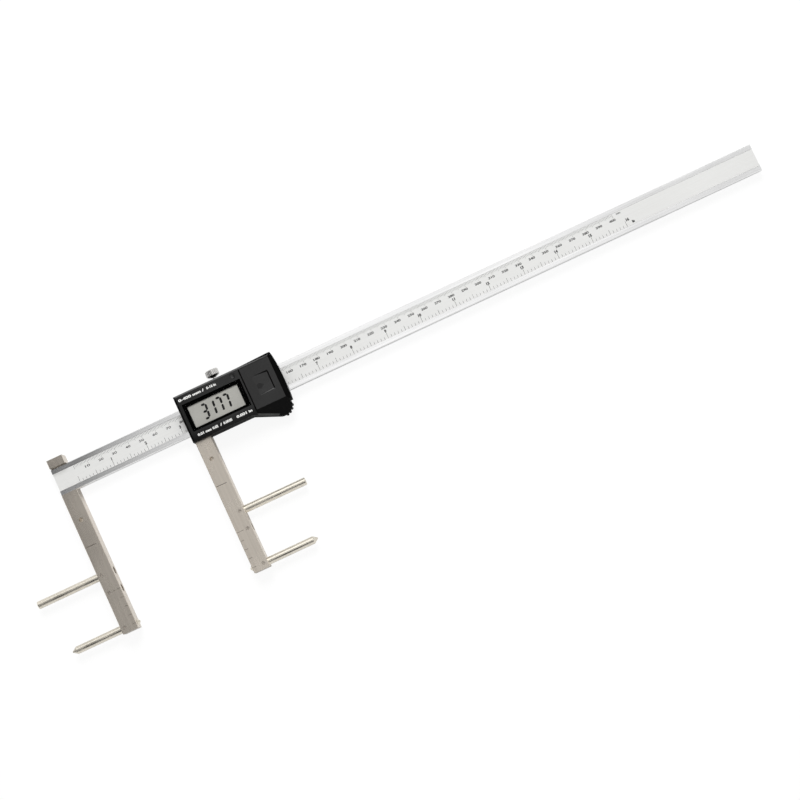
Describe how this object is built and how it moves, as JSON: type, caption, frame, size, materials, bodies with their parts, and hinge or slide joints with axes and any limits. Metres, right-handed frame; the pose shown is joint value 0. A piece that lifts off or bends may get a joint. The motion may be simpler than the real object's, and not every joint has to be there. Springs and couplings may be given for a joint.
{
  "type": "digital brake drum gauge",
  "caption": "Long beam caliper with a digital display on its slider and two square arms that carry outward measuring pins for the bore of a brake drum.",
  "frame": {"origin": "on the back face of the fixed jaw, where the beam's centreline crosses the jaw's centreline", "axes": "+X along the beam to its free end, +Y towards the lock screw, +Z out of the display's face; the gauge lies on its back"},
  "size_m": [0.5646, 0.137, 0.0185],
  "materials": {
    "beam_steel": "satin stainless, ground lengthwise",
    "scale_face": "matt silver-white printed label",
    "arm_steel": "matt ground steel",
    "pin_steel": "bright zinc-plated, turned",
    "frame_steel": "satin",
    "screw_steel": "blackened",
    "knob_chrome": "plated, knurled",
    "gib_brass": "plain",
    "contact_brass": "spring brass",
    "cell_steel": "bright",
    "housing_black": "fine moulded texture",
    "cover_grey": "fine moulded texture",
    "mask_black": "smooth black",
    "button_grey": "smooth",
    "window_clear": "clear acrylic",
    "lcd_grey": "reflective display",
    "connector_rubber": "plain",
    "circuit_green": "solder mask"
  },
  "bodies": {
    "beam_body": {"beam": "beam_steel", "scale_strip": "circuit_green", "scale_label": "scale_face", "fixed_jaw": "arm_steel", "fixed_jaw_screws": "screw_steel", "fixed_long_pin": "pin_steel", "fixed_pointed_pin": "pin_steel", "fixed_arm_set_screws": "screw_steel"},
    "slider_body": {"sliding_jaw": "arm_steel", "sliding_jaw_screws": "screw_steel", "sliding_long_pin": "pin_steel", "sliding_pointed_pin": "pin_steel", "sliding_arm_set_screws": "screw_steel", "slider_frame": "frame_steel", "gib_strip": "gib_brass", "gib_screws": "screw_steel", "display_housing": "housing_black", "housing_screws": "screw_steel", "display_window": "window_clear", "lcd_holder": "mask_black", "lcd_panel": "lcd_grey", "rubber_connector": "connector_rubber", "circuit_board": "circuit_green", "sensor_board": "circuit_green", "board_screws": "screw_steel", "battery_cell": "cell_steel", "battery_contacts": "contact_brass", "button_switch": "mask_black"},
    "lock_screw_body": {"lock_screw": "knob_chrome"},
    "battery_cover_body": {"battery_cover": "cover_grey"},
    "zero_button_body": {"zero_button": "button_grey"}
  },
  "joints": [
    {"name": "slider_slide", "type": "slide", "parent": "beam_body", "child": "slider_body", "axis": [1, 0, 0], "range_m": [-0.0807, 0.3257]},
    {"name": "lock_screw_turn", "type": "hinge", "parent": "slider_body", "child": "lock_screw_body", "pos_m": [0.11975, 0.015, 0.00635], "axis": [0, 1, 0], "range_deg": [0, 360]},
    {"name": "battery_cover_slide", "type": "slide", "parent": "slider_body", "child": "battery_cover_body", "axis": [1, 0, 0], "range_m": [0, 0.024]},
    {"name": "zero_button_press", "type": "slide", "parent": "slider_body", "child": "zero_button_body", "axis": [0, 0, -1], "range_m": [0, 0.0005], "stiffness_N_per_m": 1000, "springref_m": -0.0003}
  ]
}
